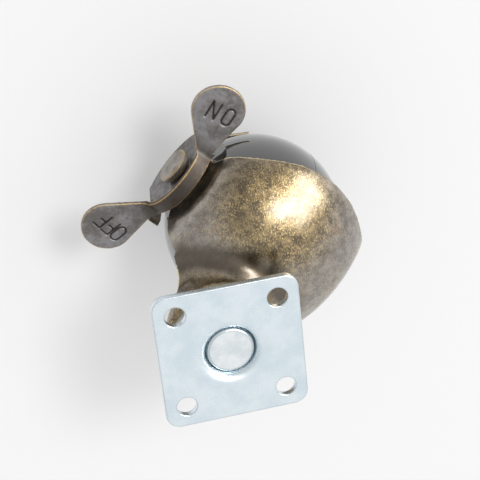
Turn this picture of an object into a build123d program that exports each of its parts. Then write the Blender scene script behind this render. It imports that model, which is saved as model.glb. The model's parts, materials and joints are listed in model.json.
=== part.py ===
"""Hooded ball castor with a foot brake lever, screwed under a furniture leg by its top plate.

Millimetres. The origin is the centre of the top plate's mounting face and +Z is up.
X and Y run along the sides of the square plate.
The hood, ball and brake are drawn in the hood's own directions (X along the axle, lever at +X,
ball trailing to -Y) and then turned about the kingpin by REST_SWIVEL.
"""
import os
from math import asin, atan2, cos, degrees, pi, radians, sin, sqrt

from build123d import *

# Top plate
PLATE_SIDE = 38.0
PLATE_THICK = 2.0
PLATE_CORNER = 3.6
SCREW_SPACING = 26.5
SCREW_HOLE_R = 2.65
DISH_R = 6.5
DISH_EDGE_R = 3.0
DISH_MOUTH_R = 2.8
DISH_UNDER_R = 1.5
DISH_DEPTH = 3.0

# Kingpin and its two rows of bearing balls
PIN_R = 4.0
PIN_HEAD_R = 6.2
PIN_HEAD_THICK = 1.8
PIN_HEAD_CHAMFER = 0.4
PIN_END_R = 5.6
PIN_END_THICK = 1.4
PIN_END_TAPER = 0.8
RACE_OUTER_R = 14.4
RACE_THICK = 1.9
TRACK_R = 11.8
TRACK_BALL_R = 1.6
TRACK_BALL_COUNT = 18
TRACK_SHARE = 0.6
LOWER_RACE_R = 9.6
LOWER_RACE_THICK = 1.3
LOWER_TRACK_R = 7.3
LOWER_BALL_R = 1.2
LOWER_BALL_COUNT = 14
CROWN_RACE_GAP = 1.2

# Hood, one pressed shell
SHEET = 1.2
CROWN_R = 15.5
CROWN_EDGE_R = 2.6
NECK_STRAIGHT = 5.6
NECK_FLARE_R = 8.0
NECK_FLARE_ANGLE = 70.0
DOME_R = 29.6
DOME_RISE = 24.0
DOME_BASE = 4.0
DOME_SHIFT = 1.0
DOME_SIDE_R = 20.0
CHEEK_X = 23.9
CHEEK_EDGE_R = 8.0
CHEEK_END_R = 8.0
RIM_FRONT = ((-34.0, 16.5), (-21.0, 16.2), (-14.5, 13.0), (-10.8, 9.6), (-8.0, 2.0))
RIM_BACK = ((8.0, 0.0), (11.2, 7.0), (14.0, 12.8), (18.2, 17.9), (22.9, 24.1), (31.0, 28.4), (42.0, 29.0))
SADDLE_R = 6.0

# Ball wheel
BALL_R = 25.0
TRAIL = 23.0
DROP = 40.0
BALL_WALL = 2.6
BALL_FLAT_X = 21.5
SEAM_GROOVE = 0.15
HUB_TUBE_WALL = 1.4
BUSH_WALL = 1.2
BUSH_LENGTH = 9.0
BUSH_FLANGE_R = 6.4
BUSH_FLANGE_THICK = 0.8

# Axle rivet and washers
AXLE_R = 3.0
AXLE_HEAD_R = 5.0
AXLE_HEAD_THICK = 1.7
AXLE_END_R = 4.6
AXLE_END_THICK = 1.6
AXLE_END_TAPER = 1.2
AXLE_END_FOOT = 0.6
AXLE_CHAMFER = 0.35
WASHER_R = 6.0
WASHER_THICK = 1.0
SPRING_WASHER_R = 4.4
SPRING_WASHER_THICK = 0.5
HEAD_GAP = 0.8

# Brake lever, a folded pressing
LEVER_SHEET = 1.2
LEVER_HALF_WIDTH = 12.7
LEVER_FOOT_R = 16.5
LEVER_FOOT_Z = 4.0
BAND_R = 13.0
BAND_DEPTH = 4.2
EAR_Z = 7.35
EAR_REACH = 29.9
EAR_R = 7.1
EAR_INNER_X = 0.95
EAR_CENTRE_X = 8.0
EAR_NECK_Y = 9.8
BEND_R = 1.6
RIB_HALF_WIDTH = 4.2
RIB_LENGTH = 21.0
RIB_HEIGHT = 0.35
RIB_TAPER = 35.0
LETTER_HEIGHT = 5.5
LETTER_WIDTH = 3.0
LETTER_STROKE = 0.6
LETTER_DEPTH = 0.35
LETTER_MIDDLE_BAR = 2.5
WORD_ON = (6.9, -22.5)
WORD_ON_PITCH = 4.4
WORD_ON_TURN = 11.0
WORD_OFF = (7.3, 22.2)
WORD_OFF_PITCH = 3.05
WORD_OFF_TURN = -8.0
LEVER_REST = -11.7

# Brake shoe, a folded spring plate with two fingers
SHOE_SHEET = 0.8
SHOE_GAP = 0.3
SHOE_HALF_LENGTH = 12.4
SHOE_NECK_HALF = 7.4
SHOE_TOP_Z = 6.5
SHOE_BOTTOM_Z = -6.5
SHOE_CORNER_R = 1.6
FINGER_Z = -1.0
FINGER_ROOT_Y = 9.2
FINGER_BALL_GAP = 1.2
ON_TIP = (18.0, -19.6)
ON_TIP_INNER = (18.0, -18.6)
OFF_TIP = (21.2, 16.7)
OFF_TIP_OUTER = (24.5, 16.7)
SHOE_TRAVEL = 0.6

# Clearances
RUNNING = 0.05
SIDE_GAP = 0.3
TRACK_GAP = 0.04
OVERCUT = 2.0
TOLERANCE = 0.05

# The castor is stored as it stands in the picture, swivelled against its plate
REST_SWIVEL = -46.4

CHEEK_INNER_X = CHEEK_X - SHEET
SHOE_INNER_X = CHEEK_X + SHOE_TRAVEL + SHOE_GAP
LEVER_INNER_X = SHOE_INNER_X + SHOE_SHEET + SHOE_GAP - RUNNING
LEVER_OUTER_X = LEVER_INNER_X + LEVER_SHEET
HEAD_INNER_X = LEVER_OUTER_X + SPRING_WASHER_THICK + HEAD_GAP
HUB_BORE_R = AXLE_R + RUNNING + BUSH_WALL
HUB_TUBE_R = HUB_BORE_R + HUB_TUBE_WALL
DISH_FLOOR_Z = -DISH_DEPTH
RACE_TOP_Z = -PLATE_THICK
BALL_ROW_Z = RACE_TOP_Z - RACE_THICK - TRACK_SHARE * TRACK_BALL_R
LOWER_RACE_TOP_Z = BALL_ROW_Z - TRACK_SHARE * TRACK_BALL_R
CROWN_Z = LOWER_RACE_TOP_Z - RACE_THICK
UNDER_CROWN_Z = CROWN_Z - SHEET
UNDER_ROW_Z = UNDER_CROWN_Z - LOWER_RACE_THICK - TRACK_SHARE * LOWER_BALL_R
CUP_TOP_Z = UNDER_ROW_Z - TRACK_SHARE * LOWER_BALL_R
PIN_END_Z = CUP_TOP_Z - LOWER_RACE_THICK
BALL_CENTRE = Vector(0, -TRAIL, -DROP)

parts = {}


def at_ball(shape):
    """Move a shape drawn about the ball's centre to its place in the hood."""
    return Pos(BALL_CENTRE) * shape


def ring(outer_r, inner_r, height, z):
    """A flat ring about Z, standing on height z."""
    return Pos(0, 0, z) * extrude(Circle(outer_r) - Circle(inner_r), height)


def ring_x(outer_r, inner_r, x_from, x_to):
    """A flat ring about the axle, between two places along it."""
    face = Plane.YZ.offset(x_from) * (Circle(outer_r) - Circle(inner_r))
    return extrude(face, x_to - x_from, dir=(1, 0, 0))


def disc_x(radius, x_from, x_to):
    """A solid disc about the axle, between two places along it."""
    return extrude(Plane.YZ.offset(x_from) * Circle(radius), x_to - x_from, dir=(1, 0, 0))


def turned(points, axis=Axis.Z, plane=Plane.XZ):
    """Spin a closed straight-sided outline into a solid of revolution."""
    return revolve(plane * make_face(Polyline(*points, close=True)), axis)


# Top plate: a square pressing with a round-edged dish that holds the kingpin's head
plate = extrude(RectangleRounded(PLATE_SIDE, PLATE_SIDE, PLATE_CORNER), -PLATE_THICK)
dish_outer_r = DISH_R + DISH_EDGE_R
dish_boss = Pos(0, 0, DISH_FLOOR_Z - PLATE_THICK) * extrude(Circle(dish_outer_r), DISH_DEPTH + PLATE_THICK)
dish_boss = fillet(dish_boss.edges().sort_by(Axis.Z)[0], DISH_UNDER_R)
plate += dish_boss
plate -= Pos(0, 0, DISH_FLOOR_Z) * extrude(Circle(DISH_R), DISH_DEPTH)
dish_mouth = plate.edges().filter_by(GeomType.CIRCLE).filter_by_position(Axis.Z, -TOLERANCE, TOLERANCE)
dish_mouth = [edge for edge in dish_mouth if abs(edge.radius - DISH_R) < TOLERANCE]
plate = fillet(dish_mouth, DISH_MOUTH_R)
plate -= extrude(Circle(PIN_R + RUNNING), -DISH_DEPTH - PLATE_THICK - OVERCUT)
half_spacing = SCREW_SPACING / 2
for hole_x in (-half_spacing, half_spacing):
    for hole_y in (-half_spacing, half_spacing):
        plate -= Pos(hole_x, hole_y, 0) * extrude(Circle(SCREW_HOLE_R), -PLATE_THICK)
parts["top_plate"] = plate

# Kingpin: a rivet with a broad flat head, its lower end clenched over the bottom cup
pin = turned(
    [
        (0, DISH_FLOOR_Z + PIN_HEAD_THICK),
        (PIN_HEAD_R - PIN_HEAD_CHAMFER, DISH_FLOOR_Z + PIN_HEAD_THICK),
        (PIN_HEAD_R, DISH_FLOOR_Z + PIN_HEAD_THICK - PIN_HEAD_CHAMFER),
        (PIN_HEAD_R, DISH_FLOOR_Z),
        (PIN_R, DISH_FLOOR_Z),
        (PIN_R, PIN_END_Z),
        (PIN_END_R, PIN_END_Z),
        (PIN_END_R - PIN_END_TAPER, PIN_END_Z - PIN_END_THICK),
        (0, PIN_END_Z - PIN_END_THICK),
    ]
)
parts["kingpin"] = pin

# Races: two rings with a grooved track each, above and below the upper row of balls
race_inner_r = dish_outer_r + SIDE_GAP
track = Pos(0, 0, BALL_ROW_Z) * Torus(TRACK_R, TRACK_BALL_R + TRACK_GAP)
parts["upper_race"] = ring(RACE_OUTER_R, race_inner_r, RACE_THICK, RACE_TOP_Z - RACE_THICK) - track
lower_race_inner_r = PIN_R + RUNNING + CROWN_RACE_GAP
parts["lower_race"] = ring(RACE_OUTER_R, race_inner_r, RACE_THICK, CROWN_Z) - track

# Bearing balls, spaced evenly round each track


def ball_row(track_r, ball_r, count, z):
    """A ring of loose bearing balls as separate solids."""
    step = 360 / count
    balls = [Rot(0, 0, step * n) * Pos(track_r, 0, z) * Sphere(ball_r) for n in range(count)]
    return Compound(children=balls)


parts["upper_bearing_balls"] = ball_row(TRACK_R, TRACK_BALL_R, TRACK_BALL_COUNT, BALL_ROW_Z)
parts["lower_bearing_balls"] = ball_row(LOWER_TRACK_R, LOWER_BALL_R, LOWER_BALL_COUNT, UNDER_ROW_Z)

# Under the crown: a race fixed to the hood, and the cup that the kingpin is clenched over
under_track = Pos(0, 0, UNDER_ROW_Z) * Torus(LOWER_TRACK_R, LOWER_BALL_R + TRACK_GAP)
under_race = ring(LOWER_RACE_R, lower_race_inner_r, LOWER_RACE_THICK, UNDER_CROWN_Z - LOWER_RACE_THICK)
parts["crown_race"] = under_race - under_track
cup = ring(LOWER_RACE_R, PIN_R, LOWER_RACE_THICK, PIN_END_Z)
parts["bottom_cup"] = cup - under_track

# Hood: a domed shell over the ball, a neck under the plate and two cheeks for the axle


def arc_about(centre, radius, start, end):
    """An arc of a circle between two angles, in degrees from the drawing's X axis."""
    return ThreePointArc(*[on_circle(centre, radius, angle) for angle in (start, (start + end) / 2, end)])


def on_circle(centre, radius, angle):
    """The place on a circle at an angle in degrees from the drawing's X axis."""
    return (centre[0] + radius * cos(radians(angle)), centre[1] + radius * sin(radians(angle)))


def dome(inset, low_z):
    """The dome's form about the ball: a flattened round top with a tighter shoulder, on a short skirt."""
    side_r = DOME_SIDE_R - inset
    plan_r = DOME_R - inset
    rise = DOME_RISE - inset
    top_r = (plan_r**2 + rise**2 - 2 * plan_r * side_r) / (2 * (rise - side_r))
    side_centre = (plan_r - side_r, DOME_BASE)
    top_centre = (0, DOME_BASE + rise - top_r)
    meet = degrees(atan2(side_centre[1] - top_centre[1], side_centre[0]))
    top = arc_about(top_centre, top_r, meet, 90)
    shoulder = arc_about(side_centre, side_r, 0, meet)
    skirt = Line((plan_r, DOME_BASE), (plan_r, low_z))
    foot = Line((plan_r, low_z), (0, low_z))
    upright = Line((0, low_z), (0, DOME_BASE + rise))
    return Pos(-DOME_SHIFT, 0, 0) * revolve(Plane.XZ * make_face([top, shoulder, skirt, foot, upright]), Axis.Z)


def neck(inset):
    """The neck's form about the kingpin: a round crown whose wall drops and then flares to meet the dome."""
    radius = CROWN_R - inset
    top_z = CROWN_Z - inset
    edge_r = CROWN_EDGE_R - inset
    flare_z = CROWN_Z - CROWN_EDGE_R - NECK_STRAIGHT
    flare_centre = (CROWN_R + NECK_FLARE_R, flare_z)
    flare_r = NECK_FLARE_R + inset
    end = on_circle(flare_centre, flare_r, 180 + NECK_FLARE_ANGLE)
    outline = [
        Line((0, top_z), (radius - edge_r, top_z)),
        arc_about((radius - edge_r, top_z - edge_r), edge_r, 90, 0),
        Line((radius, top_z - edge_r), (radius, flare_z)),
        arc_about(flare_centre, flare_r, 180, 180 + NECK_FLARE_ANGLE),
        Line(end, (end[0], end[1] - edge_r)),
        Line((end[0], end[1] - edge_r), (0, end[1] - edge_r)),
        Line((0, end[1] - edge_r), (0, top_z)),
    ]
    return revolve(Plane.XZ * make_face(outline), Axis.Z)


def shell_form(inset):
    """The hood's solid form, drawn in from its outer face: the dome with flat cheeks, blended into the neck."""
    half_width = CHEEK_X - inset
    low_z = -CHEEK_END_R - OVERCUT - inset
    body = dome(inset, low_z) & Box(2 * half_width, 4 * DOME_R, 8 * DOME_R)
    cheek_edges = [
        edge
        for edge in body.edges()
        if edge.geom_type != GeomType.LINE and abs(abs(edge.center().X) - half_width) < TOLERANCE
    ]
    body = at_ball(fillet(cheek_edges, CHEEK_EDGE_R - inset)) + neck(inset)
    saddle = [
        edge
        for edge in body.edges()
        if edge.geom_type == GeomType.BSPLINE and edge.center().Y > -TRAIL and abs(edge.center().X) < SHEET
    ]
    return fillet(saddle, SADDLE_R + inset)


# The rim, seen from the side: a brow over the ball, cheeks down past the axle, and a rise to the neck
front_rim = Spline(*RIM_FRONT, tangents=[(1, 0), (0, -1)])
cheek_front = Line(RIM_FRONT[-1], (-CHEEK_END_R, 0))
cheek_end = ThreePointArc((-CHEEK_END_R, 0), (0, -CHEEK_END_R), (CHEEK_END_R, 0))
back_rim = Spline(*RIM_BACK, tangents=[(0, 1), (1, 0)])
top_edge = Polyline(RIM_BACK[-1], (RIM_BACK[-1][0], DROP), (RIM_FRONT[0][0], DROP), RIM_FRONT[0])
side_view = make_face([front_rim, cheek_front, cheek_end, back_rim, *top_edge.edges()])
kept = at_ball(extrude(Plane.YZ * side_view, DOME_R + OVERCUT, both=True))
kept -= at_ball(disc_x(AXLE_R, -DOME_R - 2 * OVERCUT, DOME_R + 2 * OVERCUT))
kept -= Pos(0, 0, CROWN_Z - CROWN_R) * extrude(Circle(PIN_R + RUNNING), 2 * CROWN_R)
parts["hood"] = (shell_form(0) - shell_form(SHEET)) & kept

# Ball wheel: two half shells about a hub tube, with a plain bush at each end


def ball_half():
    """The lever-side half of the ball, drawn along +X from the seam."""
    rim_r = sqrt(BALL_R**2 - BALL_FLAT_X**2)
    inner_r = BALL_R - BALL_WALL
    inner_x = BALL_FLAT_X - BALL_WALL
    inner_rim_r = sqrt(inner_r**2 - inner_x**2)
    seam_r = sqrt(BALL_R**2 - SEAM_GROOVE**2)
    halfway = pi / 6
    outer_arc = ThreePointArc(
        (SEAM_GROOVE, seam_r),
        (BALL_R * sin(halfway), BALL_R * cos(halfway)),
        (BALL_FLAT_X, rim_r),
    )
    inner_arc = ThreePointArc(
        (inner_x, inner_rim_r),
        (inner_r * sin(halfway), inner_r * cos(halfway)),
        (0, inner_r),
    )
    outline = [
        outer_arc,
        Line((BALL_FLAT_X, rim_r), (BALL_FLAT_X, BUSH_FLANGE_R + SIDE_GAP)),
        Line((BALL_FLAT_X, BUSH_FLANGE_R + SIDE_GAP), (hub_end_x, BUSH_FLANGE_R + SIDE_GAP)),
        Line((hub_end_x, BUSH_FLANGE_R + SIDE_GAP), (hub_end_x, HUB_TUBE_R)),
        Line((hub_end_x, HUB_TUBE_R), (0, HUB_TUBE_R)),
        Line((0, HUB_TUBE_R), (0, HUB_TUBE_R + BALL_WALL)),
        Line((0, HUB_TUBE_R + BALL_WALL), (inner_x, HUB_TUBE_R + BALL_WALL)),
        Line((inner_x, HUB_TUBE_R + BALL_WALL), (inner_x, inner_rim_r)),
        inner_arc,
        Line((0, inner_r), (0, seam_r - SEAM_GROOVE)),
        Line((0, seam_r - SEAM_GROOVE), (SEAM_GROOVE, seam_r)),
    ]
    return revolve(make_face(outline), Axis.X)


hub_end_x = BALL_FLAT_X - BUSH_FLANGE_THICK
bush = ring_x(HUB_BORE_R, AXLE_R + RUNNING, hub_end_x - BUSH_LENGTH, hub_end_x)
bush += ring_x(BUSH_FLANGE_R, AXLE_R + RUNNING, hub_end_x, BALL_FLAT_X)
half = ball_half()
parts["ball_half_lever_side"] = at_ball(half)
parts["ball_half_far_side"] = at_ball(mirror(half, Plane.YZ))
parts["hub_tube"] = at_ball(ring_x(HUB_TUBE_R, HUB_BORE_R, -hub_end_x, hub_end_x))
parts["bush_lever_side"] = at_ball(bush)
parts["bush_far_side"] = at_ball(mirror(bush, Plane.YZ))

# Axle: a rivet through both cheeks, its broad flat head outside the lever
far_washer_x = -CHEEK_X - WASHER_THICK
head_top_x = HEAD_INNER_X + AXLE_HEAD_THICK
axle = turned(
    [
        (far_washer_x - AXLE_END_THICK, 0),
        (far_washer_x - AXLE_END_THICK, AXLE_END_R - AXLE_END_TAPER),
        (far_washer_x - AXLE_END_FOOT, AXLE_END_R),
        (far_washer_x, AXLE_END_R),
        (far_washer_x, AXLE_R),
        (HEAD_INNER_X, AXLE_R),
        (HEAD_INNER_X, AXLE_HEAD_R),
        (head_top_x - AXLE_CHAMFER, AXLE_HEAD_R),
        (head_top_x, AXLE_HEAD_R - AXLE_CHAMFER),
        (head_top_x, 0),
    ],
    axis=Axis.X,
    plane=Plane.XY,
)
parts["axle"] = at_ball(axle)
parts["end_washer"] = at_ball(ring_x(WASHER_R, AXLE_R, far_washer_x, -CHEEK_X))
thrust_inner_x = BALL_FLAT_X + SIDE_GAP
parts["thrust_washer_lever_side"] = at_ball(ring_x(WASHER_R, AXLE_R, thrust_inner_x, CHEEK_INNER_X))
parts["thrust_washer_far_side"] = at_ball(ring_x(WASHER_R, AXLE_R, -CHEEK_INNER_X, -thrust_inner_x))
spring_washer_x = HEAD_INNER_X - SPRING_WASHER_THICK
parts["spring_washer"] = at_ball(ring_x(SPRING_WASHER_R, AXLE_R, spring_washer_x, HEAD_INNER_X))

# Brake lever: a plate beside the cheek whose top edge folds out into a band and two ears
ear_y = EAR_REACH - EAR_R
band_foot_y = sqrt(BAND_R**2 - EAR_Z**2)
plate_foot_z = LEVER_FOOT_Z - sqrt(LEVER_FOOT_R**2 - LEVER_HALF_WIDTH**2)
lever_outline = [
    ThreePointArc(
        (-LEVER_HALF_WIDTH, plate_foot_z),
        (0, LEVER_FOOT_Z - LEVER_FOOT_R),
        (LEVER_HALF_WIDTH, plate_foot_z),
    ),
    Line((LEVER_HALF_WIDTH, plate_foot_z), (LEVER_HALF_WIDTH, EAR_Z)),
    Line((LEVER_HALF_WIDTH, EAR_Z), (band_foot_y, EAR_Z)),
    ThreePointArc((band_foot_y, EAR_Z), (0, BAND_R), (-band_foot_y, EAR_Z)),
    Line((-band_foot_y, EAR_Z), (-LEVER_HALF_WIDTH, EAR_Z)),
    Line((-LEVER_HALF_WIDTH, EAR_Z), (-LEVER_HALF_WIDTH, plate_foot_z)),
]
lever_plate = extrude(Plane.YZ.offset(LEVER_INNER_X) * make_face(lever_outline), LEVER_SHEET, dir=(1, 0, 0))


def sheet_edge(lift):
    """The folded sheet seen from its end: an ear, the band's arc and the other ear, at one face."""
    radius = BAND_R + lift
    level = EAR_Z + lift
    foot_y = sqrt(radius**2 - level**2)
    return radius, level, foot_y


outer_radius, outer_level, outer_foot = sheet_edge(0)
inner_radius, inner_level, inner_foot = sheet_edge(-LEVER_SHEET)
fold = make_face(
    [
        Line((-EAR_REACH, outer_level), (-outer_foot, outer_level)),
        ThreePointArc((-outer_foot, outer_level), (0, outer_radius), (outer_foot, outer_level)),
        Line((outer_foot, outer_level), (EAR_REACH, outer_level)),
        Line((EAR_REACH, outer_level), (EAR_REACH, inner_level)),
        Line((EAR_REACH, inner_level), (inner_foot, inner_level)),
        ThreePointArc((inner_foot, inner_level), (0, inner_radius), (-inner_foot, inner_level)),
        Line((-inner_foot, inner_level), (-EAR_REACH, inner_level)),
        Line((-EAR_REACH, inner_level), (-EAR_REACH, outer_level)),
    ]
)
ear_far_x = LEVER_INNER_X + EAR_CENTRE_X + EAR_R
folded = extrude(Plane.YZ.offset(LEVER_INNER_X) * fold, ear_far_x - LEVER_INNER_X, dir=(1, 0, 0))
folded_bends = [
    edge
    for edge in folded.edges().filter_by(Axis.X)
    if abs(edge.center().Z - outer_level) < TOLERANCE and abs(abs(edge.center().Y) - outer_foot) < TOLERANCE
]
folded = fillet(folded_bends, BEND_R)


def ear_plan(side):
    """One ear from above: a round end, a straight inner edge and a tangent outer edge."""
    centre_x = LEVER_INNER_X + EAR_CENTRE_X
    inner_x = LEVER_INNER_X + EAR_INNER_X
    neck_x = LEVER_INNER_X + BAND_DEPTH
    reach_x = centre_x - neck_x
    reach_y = ear_y - EAR_NECK_Y
    distance = sqrt(reach_x**2 + reach_y**2)
    tangent_angle = degrees(atan2(reach_y, reach_x)) - degrees(asin(EAR_R / distance))
    tangent_length = sqrt(distance**2 - EAR_R**2)
    touch_x = neck_x + tangent_length * cos(radians(tangent_angle))
    touch_y = EAR_NECK_Y + tangent_length * sin(radians(tangent_angle))
    cut_y = ear_y + sqrt(EAR_R**2 - (centre_x - inner_x) ** 2)
    outline = [
        Line((neck_x, side * EAR_NECK_Y), (touch_x, side * touch_y)),
        ThreePointArc((touch_x, side * touch_y), (centre_x, side * EAR_REACH), (inner_x, side * cut_y)),
        Line((inner_x, side * cut_y), (inner_x, side * EAR_NECK_Y)),
        Line((inner_x, side * EAR_NECK_Y), (neck_x, side * EAR_NECK_Y)),
    ]
    return make_face(outline)


band_plan = Pos(LEVER_INNER_X + BAND_DEPTH / 2, 0) * Rectangle(BAND_DEPTH, 2 * LEVER_HALF_WIDTH)
blank = band_plan + ear_plan(1) + ear_plan(-1)
lever = lever_plate + (folded & extrude(blank, 3 * BAND_R))
rib = extrude(
    Plane.YZ.offset(LEVER_OUTER_X) * Rectangle(2 * RIB_HALF_WIDTH, RIB_LENGTH),
    RIB_HEIGHT,
    taper=RIB_TAPER,
    dir=(1, 0, 0),
)
lever += rib


def bar(length, angle, x, y):
    """One straight stroke of a stamped letter, as a cutter on an ear."""
    stroke = extrude(SlotOverall(length, LETTER_STROKE), -LETTER_DEPTH)
    return Pos(x, y, 0) * Rot(0, 0, angle) * stroke


def letter(character, x, y):
    """Cutters for a stamped letter that reads along +X with its foot to -Y."""
    half_height = (LETTER_HEIGHT - LETTER_STROKE) / 2
    half_width = (LETTER_WIDTH - LETTER_STROKE) / 2
    if character == "O":
        outer = SlotOverall(LETTER_HEIGHT, LETTER_WIDTH)
        inner = SlotOverall(LETTER_HEIGHT - 2 * LETTER_STROKE, LETTER_WIDTH - 2 * LETTER_STROKE)
        return [Pos(x, y, 0) * Rot(0, 0, 90) * extrude(outer - inner, -LETTER_DEPTH)]
    cutters = [bar(LETTER_HEIGHT, 90, x - half_width, y)]
    if character == "N":
        slope = degrees(atan2(2 * half_height, -2 * half_width))
        diagonal = 2 * sqrt(half_height**2 + half_width**2) + LETTER_STROKE
        cutters.append(bar(LETTER_HEIGHT, 90, x + half_width, y))
        cutters.append(bar(diagonal, slope, x, y))
    if character == "F":
        cutters.append(bar(LETTER_WIDTH, 0, x, y + half_height))
        cutters.append(bar(LETTER_MIDDLE_BAR, 0, x - (LETTER_WIDTH - LETTER_MIDDLE_BAR) / 2, y))
    return cutters


def stamp(word, centre, pitch, turn):
    """Cutters for a word on an ear, about its centre and slanted as it was struck."""
    start = -(len(word) - 1) / 2
    cutters = []
    for index, character in enumerate(word):
        cutters += letter(character, (start + index) * pitch, 0)
    place = Pos(LEVER_INNER_X + centre[0], centre[1], EAR_Z) * Rot(0, 0, turn)
    return [place * cutter for cutter in cutters]


cutters = stamp("ON", WORD_ON, WORD_ON_PITCH, WORD_ON_TURN)
cutters += stamp("OFF", WORD_OFF, WORD_OFF_PITCH, WORD_OFF_TURN)
for cutter in cutters:
    lever -= cutter
lever -= disc_x(AXLE_R + RUNNING, LEVER_INNER_X - OVERCUT, LEVER_OUTER_X + RIB_HEIGHT + OVERCUT)
parts["brake_lever"] = at_ball(Rot(LEVER_REST, 0, 0) * lever)

# Brake shoe: a plate behind the lever, its two ends bent in to press on the ball
shoe_outer_x = SHOE_INNER_X + SHOE_SHEET
shoulder_height = FINGER_Z - SHOE_BOTTOM_Z
neck_height = SHOE_TOP_Z - SHOE_BOTTOM_Z
shoulders = RectangleRounded(2 * SHOE_HALF_LENGTH, shoulder_height, SHOE_CORNER_R)
spine_neck = RectangleRounded(2 * SHOE_NECK_HALF, neck_height, SHOE_CORNER_R)
spine = Pos(0, SHOE_BOTTOM_Z + shoulder_height / 2) * shoulders
spine += Pos(0, SHOE_BOTTOM_Z + neck_height / 2) * spine_neck
spine += Pos(0, FINGER_Z - SHOE_SHEET) * Rectangle(2 * SHOE_HALF_LENGTH, 2 * SHOE_SHEET)
shoe = extrude(Plane.YZ.offset(SHOE_INNER_X) * spine, SHOE_SHEET, dir=(1, 0, 0))
root_x = sqrt((BALL_R + FINGER_BALL_GAP) ** 2 - FINGER_ROOT_Y**2)
fingers = [
    [
        (shoe_outer_x, -FINGER_ROOT_Y),
        (shoe_outer_x, -SHOE_HALF_LENGTH),
        ON_TIP,
        ON_TIP_INNER,
        (root_x - OVERCUT, -FINGER_ROOT_Y),
    ],
    [
        (shoe_outer_x, FINGER_ROOT_Y),
        (shoe_outer_x, SHOE_HALF_LENGTH),
        OFF_TIP_OUTER,
        OFF_TIP,
        (root_x - OVERCUT, FINGER_ROOT_Y),
    ],
]
for outline in fingers:
    finger = Pos(0, 0, FINGER_Z) * extrude(make_face(Polyline(*outline, close=True)), -SHOE_SHEET)
    shoe += finger - Sphere(BALL_R + FINGER_BALL_GAP)
shoe -= disc_x(AXLE_R + RUNNING, SHOE_INNER_X - OVERCUT, shoe_outer_x + OVERCUT)
parts["brake_shoe"] = at_ball(shoe)

STILL = ("top_plate", "kingpin", "upper_race", "upper_bearing_balls", "lower_bearing_balls", "bottom_cup")

os.makedirs("parts", exist_ok=True)
for name, shape in parts.items():
    placed = shape if name in STILL else Rot(0, 0, REST_SWIVEL) * shape
    export_step(placed, os.path.join("parts", name + ".step"))
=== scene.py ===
"""Looks of a hooded ball castor with a foot brake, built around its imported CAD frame.

Everything is in metres in the CAD's own frame: the origin is the centre of the plate's
mounting face and +Z points up, into the furniture. The ball stands on the floor below.

Sheet parts, rivets and races are redrawn from their CAD nodes as even, dense meshes whose
sharp edges are rounded. Each such mesh carries how far every point lies from an edge, so
that its finish can wear there.
"""

import json
import logging
import math
from abc import ABC, abstractmethod
from collections.abc import Callable
from dataclasses import dataclass
from enum import Enum
from functools import partial
from typing import Any

import bmesh
import bpy
import numpy as np
from mathutils import Matrix, Vector
from mathutils.bvhtree import BVHTree
from mathutils.kdtree import KDTree

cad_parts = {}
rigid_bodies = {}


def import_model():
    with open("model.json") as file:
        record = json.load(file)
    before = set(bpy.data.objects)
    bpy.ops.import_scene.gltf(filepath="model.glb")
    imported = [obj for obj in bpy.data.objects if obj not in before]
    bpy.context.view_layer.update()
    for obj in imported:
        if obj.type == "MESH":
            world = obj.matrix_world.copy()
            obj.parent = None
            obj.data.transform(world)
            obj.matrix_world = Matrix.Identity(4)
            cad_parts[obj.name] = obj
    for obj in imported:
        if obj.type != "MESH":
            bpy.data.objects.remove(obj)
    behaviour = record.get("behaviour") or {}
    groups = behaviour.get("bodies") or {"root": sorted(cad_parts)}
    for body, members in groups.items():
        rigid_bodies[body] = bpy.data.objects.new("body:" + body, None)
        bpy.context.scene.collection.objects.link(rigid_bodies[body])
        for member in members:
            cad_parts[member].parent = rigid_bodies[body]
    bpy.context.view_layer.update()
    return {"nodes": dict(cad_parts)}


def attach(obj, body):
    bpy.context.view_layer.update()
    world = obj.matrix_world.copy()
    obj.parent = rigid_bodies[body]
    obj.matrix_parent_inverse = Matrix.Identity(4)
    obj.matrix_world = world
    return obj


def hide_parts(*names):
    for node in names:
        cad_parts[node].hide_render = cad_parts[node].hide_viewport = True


for leftover in list(bpy.data.objects):
    bpy.data.objects.remove(leftover)
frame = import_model()

LOG = logging.getLogger("castor")

MM = 0.001

# How the hood is turned under the plate and the lever tilted on the hood, at rest, and where
# the ball's centre lies in the hood's own directions
HOOD_TURN = math.radians(-46.4)
LEVER_TILT = math.radians(-11.7)
BALL_IN_HOOD = Vector((0, -23.0, -40.0)) * MM

# What a mesh carries for its finish: distance from an edge, inner face, letters, folded band
EDGE_ATTRIBUTE = "edge_mm"
INSIDE_ATTRIBUTE = "inside"
STAMP_ATTRIBUTE = "stamped"
BAND_ATTRIBUTE = "band"
EDGE_REACH_MM = 6.0


class Body(str, Enum):
    """The moving groups that a made piece can ride on, as the frame names them."""

    PLATE = "plate"
    HOOD = "hood"
    LEVER = "lever"
    SHOE = "shoe"


class Slot(str, Enum):
    """The record's material slots."""

    ZINC_PLATE = "zinc_plate"
    ZINC_PIN = "zinc_pin"
    RACE_STEEL = "race_steel"
    BEARING_STEEL = "bearing_steel"
    ANTIQUE_BRASS = "antique_brass"
    AGED_STEEL = "aged_steel"
    RIVET_STEEL = "rivet_steel"
    SPRING_STEEL = "spring_steel"
    BLACK_BALL = "black_ball"
    BUSH_PLASTIC = "bush_plastic"


def colour(hex_code: str) -> tuple[float, float, float, float]:
    """Turn an sRGB hex value into a linear colour.

    Args:
        hex_code: A colour such as "#8a7f6d".

    Returns:
        Red, green, blue and alpha, in linear light.
    """
    channels = [int(hex_code[i : i + 2], 16) / 255 for i in (1, 3, 5)]
    linear = [c / 12.92 if c <= 0.04045 else ((c + 0.055) / 1.055) ** 2.4 for c in channels]
    return (*linear, 1.0)


def per_metre(size_mm: float) -> float:
    """Give the pattern scale whose feature has this real size in millimetres."""
    return 1 / (size_mm * MM)


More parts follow.
